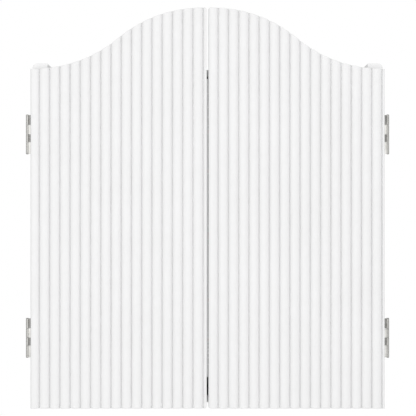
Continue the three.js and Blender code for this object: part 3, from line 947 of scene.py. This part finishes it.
board = {"bull": 0.00635, "outerBull": 0.0159, "treble": (0.099, 0.107), "double": (0.162, 0.170),
         "wire": 0.00065, "wireOver": 0.006, "numberRing": 0.205, "numberWire": 0.0011, "clips": 4,
         "clipWire": 0.00088, "innerHoop": 0.1755, "innerWire": 0.00077, "numeral": 0.0235,
         "numeralRadius": 0.189, "numeralHalf": 0.00035, "numeralEdge": 0.00015, "numeralThin": -0.00042,
         "numeralSet": 0.0005,
         "stepsPerBed": 8, "bullCuts": (0.003, 0.011), "cutEvery": 0.012, "faceEase": 0.0008,
         "backRim": 0.004, "band": 0.0018, "bandRoll": 0.0006, "backingEase": 0.0005, "screwEase": 0.0004,
         "wireSharp": 60}
order = (20, 1, 18, 4, 13, 6, 10, 15, 2, 17, 3, 19, 7, 16, 8, 11, 14, 9, 12, 5)


def dyeAt(radius, bed):
    dark = bed % 2 == 0
    if radius < board["bull"]:
        return "red"
    if radius < board["outerBull"]:
        return "green"
    if radius > board["double"][1]:
        return "black"
    if board["treble"][0] < radius < board["treble"][1] or radius > board["double"][0]:
        return "red" if dark else "green"
    return "black" if dark else "cream"


def sisalFace():
    # the face is laid out in real beds, so each dye meets the next under a wire
    low, high = lowHigh("sisal_disc")
    frontY, backY, rim = low[1], high[1], high[0]
    ease = board["faceEase"]
    names = list(dyes)
    lines = [board["bull"], board["outerBull"], *board["treble"], *board["double"], rim - ease]
    radii = [board["bullCuts"][0], lines[0], board["bullCuts"][1], lines[1]]
    for start, stop in zip(lines[1:], lines[2:]):
        pieces = max(1, round((stop - start) / board["cutEvery"]))
        radii += [start + (stop - start) * k / pieces for k in range(1, pieces + 1)]
    steps = 20 * board["stepsPerBed"]
    bm = bmesh.new()
    centre = bm.verts.new((0, frontY, 0))
    turns = [2 * math.pi * (k / steps - 0.5 / 20) for k in range(steps)]

    def loopAt(radius, y):
        return [bm.verts.new((radius * math.sin(t), y, radius * math.cos(t))) for t in turns]

    loops = [loopAt(radius, frontY) for radius in radii]
    for k in range(steps):
        face = bm.faces.new([centre, loops[0][(k + 1) % steps], loops[0][k]])
        face.material_index = names.index("red")
    edges = [(rim, frontY + ease), (rim, backY), (rim - board["backRim"], backY)]
    loops += [loopAt(radius, y) for radius, y in edges]
    middles = [(a + b) / 2 for a, b in zip(radii, radii[1:])] + [rim] * len(edges)
    for one, two, middle in zip(loops, loops[1:], middles):
        for k in range(steps):
            face = bm.faces.new([one[k], one[(k + 1) % steps], two[(k + 1) % steps], two[k]])
            face.material_index = names.index(dyeAt(middle, k // board["stepsPerBed"]))
    back = bm.faces.new(loops[-1])
    back.material_index = names.index("black")
    return bm


def outwards(share):
    # the direction a share of a turn clockwise from straight up
    turn = 2 * math.pi * share
    return Vector((math.sin(turn), 0, math.cos(turn)))


def wireWork():
    _, high = lowHigh("wire_spider")
    wire = board["wire"]
    y = high[1] - wire
    radii = [board["outerBull"], *board["treble"], *board["double"]]
    parts = [hoop(radius, wire, y, 160) for radius in radii]
    level = Vector((0, y, 0))
    for k in range(20):
        out = outwards((k + 0.5) / 20)
        end = out * (board["double"][1] + board["wireOver"])
        parts.append(rod(out * board["outerBull"] + level, end + level, wire))
    return parts


def numerals():
    low, _ = lowHigh("number_ring")
    bm = bmesh.new()
    for place, number in enumerate(order):
        data = bpy.data.curves.new("numeral", "FONT")
        data.body = str(number)
        data.size = board["numeral"]
        data.align_x = "CENTER"
        data.align_y = "CENTER"
        data.extrude = board["numeralHalf"]
        data.bevel_depth = board["numeralEdge"]
        data.offset = board["numeralThin"]
        mesh = settled(bpy.data.objects.new("numeral", data))
        turn = 2 * math.pi * place / 20
        flip = math.pi if 5 < place < 15 else 0  # the lower numbers stand the right way up
        spin = Matrix.Rotation(flip, 4, "Y") @ Matrix.Rotation(math.radians(90), 4, "X")
        outward = Matrix.Rotation(turn, 4, "Y") @ Matrix.Translation((0, 0, board["numeralRadius"]))
        mesh.transform(Matrix.Translation((0, low[1] + board["numeralSet"], 0)) @ outward @ spin)
        bm.from_mesh(mesh)
        bpy.data.meshes.remove(mesh)
    return bm


def numberRingWork():
    _, high = lowHigh("number_ring")
    y = high[1] - board["numberWire"]
    level = Vector((0, y, 0))
    rim = lowHigh("sisal_disc")[1][0]
    parts = [hoop(board["numberRing"], board["numberWire"], y, 180),
             hoop(board["innerHoop"], board["innerWire"], y, 160)]
    for k in range(board["clips"]):
        out = outwards((k + 0.5) / board["clips"])
        parts.append(rod(out * board["numberRing"] + level, out * rim + level, board["clipWire"]))
    return parts


def bandProfile(low, high):
    outer, inner = high[0], high[0] - board["band"]
    front, back = low[1], high[1]
    roll = board["bandRoll"]
    return [(inner, back), (outer - roll, back), (outer, back - roll), (outer, front + roll),
            (outer - roll, front), (inner + roll, front), (inner, front + roll)]


def openTurned(profile, steps):
    # a closed section off the axis, turned into a band
    bm = bmesh.new()
    turns = [2 * math.pi * k / steps for k in range(steps)]
    loops = [[bm.verts.new((r * math.cos(t), y, r * math.sin(t))) for t in turns] for r, y in profile]
    return skinned(bm, loops)


def addBoard():
    body = "dart_board"
    addPiece("sisalFace", meshOf(sisalFace()), list(dyes.values()), body, "sisal_disc")
    band = meshOf(openTurned(bandProfile(*lowHigh("rim_band")), 180))
    addPiece("rimBand", band, bandEnamel, body, "rim_band")
    sharp = board["wireSharp"]
    addPiece("wireSpider", meshOf(joined(wireWork())), wireSteel, body, "wire_spider", sharp)
    bullY = lowHigh("bull_ring")[1][1] - board["wire"]
    bull = hoop(board["bull"], board["wire"], bullY, 48)
    addPiece("bullRing", meshOf(bull), wireSteel, body, "bull_ring", sharp)
    ring = meshOf(joined(numberRingWork()))
    addPiece("numberRing", ring, wireSteel, body, "number_ring", sharp)
    addPiece("numerals", meshOf(numerals()), wireSteel, body)
    backing = meshOf(softened("backing_disc", board["backingEase"]))
    addPiece("backingDisc", backing, chipboard, body, "backing_disc")
    hanger = meshOf(softened("hanging_screw", board["screwEase"]))
    addPiece("hangingScrew", hanger, zinc, body, "hanging_screw")


addBoard()
print("dart board built")


studio = {"room": 0.6, "backdrop": 1.0, "wide": (0.6, 0.955), "key": 46.0, "keySize": 3.2,
          "keyPlace": (-0.18, -2.5, 0.45), "floorZ": -0.75, "floorRadius": 1.7, "floorDepth": 0.02,
          "floorEdge": 0.004, "floorPale": 0.86, "floorGrey": 0.8, "floorRoughness": 0.6}


def addRoom(scene):
    # a soft grey room that opens on a white backdrop behind the cabinet
    scene.world = bpy.data.worlds.new("studio")
    scene.world.use_nodes = True
    room = Graph(scene.world.node_tree)
    depth = room.node("SeparateXYZ", None, {0: room.node("TexCoord", out="Generated")}, "Y")
    start, end = studio["wide"]
    sockets = {"Value": depth, "From Min": start, "From Max": end, "To Min": studio["room"],
               "To Max": studio["backdrop"]}
    strength = room.node("MapRange", {"interpolation_type": "SMOOTHSTEP"}, sockets)
    light = room.tree.nodes["Background"].inputs
    room.plug(light["Color"], grey(1.0))
    room.plug(light["Strength"], strength)


def addKeyLight(scene):
    light = bpy.data.lights.new("key", "AREA")
    light.energy = studio["key"]
    light.size = studio["keySize"]
    lamp = bpy.data.objects.new("key", light)
    lamp.location = studio["keyPlace"]
    lamp.rotation_euler = (-lamp.location).to_track_quat("-Z", "Y").to_euler()
    scene.collection.objects.link(lamp)


def addFloor(scene):
    profile = roundedEnds(studio["floorRadius"], -studio["floorDepth"], 0, studio["floorEdge"])
    mesh = meshOf(turned(profile, (0, 0, studio["floorZ"]), "Z", 96))
    pale = Finish("paleFloor")
    mottle = pale.blend(pale.noise(3.0), grey(studio["floorPale"]), grey(studio["floorGrey"]))
    mesh.materials.append(pale.done(mottle, studio["floorRoughness"]))
    floor = bpy.data.objects.new("floor", mesh)
    scene.collection.objects.link(floor)


scene = bpy.context.scene
scene.view_settings.view_transform = "Standard"
addRoom(scene)
addKeyLight(scene)
addFloor(scene)
print("studio ready")
